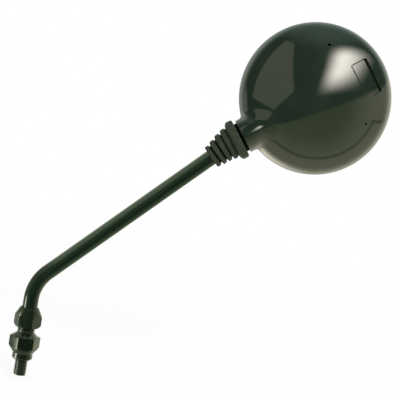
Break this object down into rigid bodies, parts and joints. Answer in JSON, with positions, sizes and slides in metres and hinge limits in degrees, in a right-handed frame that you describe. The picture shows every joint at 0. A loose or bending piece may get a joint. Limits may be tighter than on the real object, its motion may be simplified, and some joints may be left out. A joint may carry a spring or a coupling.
{
  "type": "motorcycle mirror",
  "caption": "Round motorcycle mirror on a ball joint under a rubber bellows, with a bent stem that turns in a hex fitting with a threaded stud.",
  "frame": {"origin": "on the stud's axis, in the plane of the collar's underside", "axes": "-Z along the stud to its free end, +X the way the stem leans, +Y the way the glass faces"},
  "size_m": [0.263, 0.0399, 0.3112],
  "materials": {
    "black_steel": "satin black oxide",
    "plain_steel": "turned",
    "ring_brass": "turned",
    "stem_paint": "gloss black",
    "liner_nylon": "natural",
    "shell_plastic": "gloss black",
    "boot_rubber": "matte black",
    "pad_foam": "closed cell foam",
    "silvered_glass": "silvered"
  },
  "bodies": {
    "adapter": {"adapter_body": "black_steel", "friction_washer": "plain_steel"},
    "ring": {"clamp_ring": "ring_brass"},
    "nut": {"lock_nut": "black_steel"},
    "stem": {"stem_tube": "stem_paint", "stem_foot": "plain_steel", "ball_stud": "plain_steel", "boot": "boot_rubber"},
    "liner": {"ball_liner": "liner_nylon"},
    "carrier": {"pressure_cup": "liner_nylon", "coil_spring": "plain_steel", "spring_seat": "plain_steel"},
    "head": {"housing": "shell_plastic", "spring_plate": "plain_steel", "plate_screw_1": "plain_steel", "plate_screw_2": "plain_steel", "backing_plate": "liner_nylon", "foam_pad": "pad_foam", "rim_gasket": "boot_rubber", "glass": "silvered_glass"}
  },
  "joints": [
    {"name": "arm_swing", "type": "hinge", "parent": "adapter", "child": "stem", "pos_m": [0, 0, 0.032], "axis": [0, 0, 1], "continuous": true},
    {"name": "nut_rise", "type": "slide", "parent": "adapter", "child": "ring", "axis": [0, 0, 1], "range_m": [0, 0.006]},
    {"name": "nut_spin", "type": "hinge", "parent": "ring", "child": "nut", "pos_m": [0, 0, 0.0333], "axis": [0, 0, 1], "range_deg": [0, 1440]},
    {"name": "head_tilt", "type": "hinge", "parent": "stem", "child": "liner", "pos_m": [0.13626, 0, 0.19705], "axis": [0, 1, 0], "range_deg": [-22.8, 7.2], "deforming": ["boot"]},
    {"name": "head_swing", "type": "hinge", "parent": "liner", "child": "carrier", "pos_m": [0.13626, 0, 0.19705], "axis": [-0.6018, 0, 0.7986], "range_deg": [-15, 15]},
    {"name": "head_turn", "type": "hinge", "parent": "carrier", "child": "head", "pos_m": [0.13626, 0, 0.19705], "axis": [0.7986, 0, 0.6018], "continuous": true}
  ],
  "couplings": [
    {"joint": "nut_rise", "follows": "nut_spin", "m_per_rad": 0.00023873}
  ]
}
